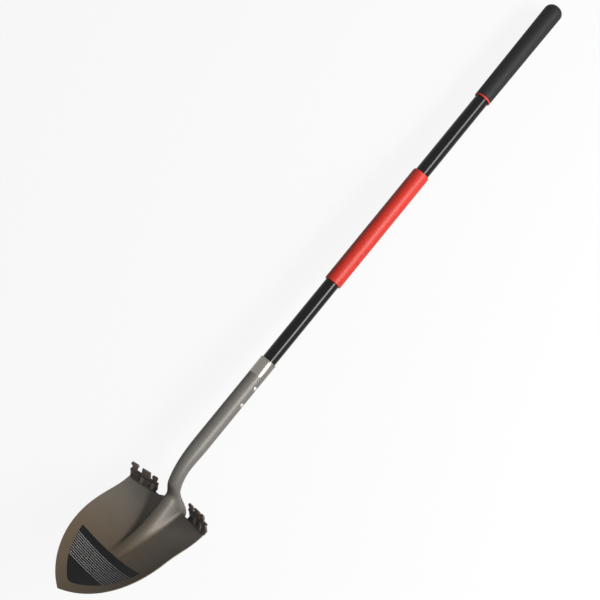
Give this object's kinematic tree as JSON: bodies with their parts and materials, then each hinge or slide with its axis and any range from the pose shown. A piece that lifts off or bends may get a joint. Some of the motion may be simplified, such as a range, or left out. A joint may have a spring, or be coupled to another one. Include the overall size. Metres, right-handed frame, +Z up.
{
  "type": "round-point shovel",
  "caption": "Long-handled round-point shovel with dished steel blade, gooseneck socket, toothed boot treads, black tubular shaft and red and black sleeve grips.",
  "frame": {"origin": "centre of the footprint, on the floor that the shovel lies on with its hollow side up", "axes": "+X towards the grip end, the blade's tip at -X; +Y to the left of someone who looks at the hollow side with the handle up; +Z up, out of the hollow side"},
  "size_m": [1.51, 0.2272, 0.1455],
  "materials": {
    "head_lacquer": "hammered bronze-grey metallic lacquer on pressed steel",
    "tread_lacquer": "satin dark olive-brown lacquer",
    "rivet_steel": "bright drawn steel",
    "collar_chrome": "bright plated",
    "shaft_resin": "glossy black glass-fibre resin",
    "core_wood": "plain turned dowel",
    "plug_plastic": "moulded",
    "red_rubber": "soft satin red sleeve",
    "black_rubber": "matte black cushion",
    "red_trim": "satin red",
    "label_film": "printed film, no lettering"
  },
  "bodies": {
    "root": {"shovel_head": "head_lacquer", "left_step_tread": "tread_lacquer", "right_step_tread": "tread_lacquer", "socket_rivets": "rivet_steel", "socket_collar": "collar_chrome", "handle_shaft": "shaft_resin", "shaft_core": "core_wood", "shaft_end_plug": "plug_plastic", "mid_grip": "red_rubber", "end_grip": "black_rubber", "end_grip_ring": "red_trim", "blade_label": "label_film"}
  },
  "joints": []
}
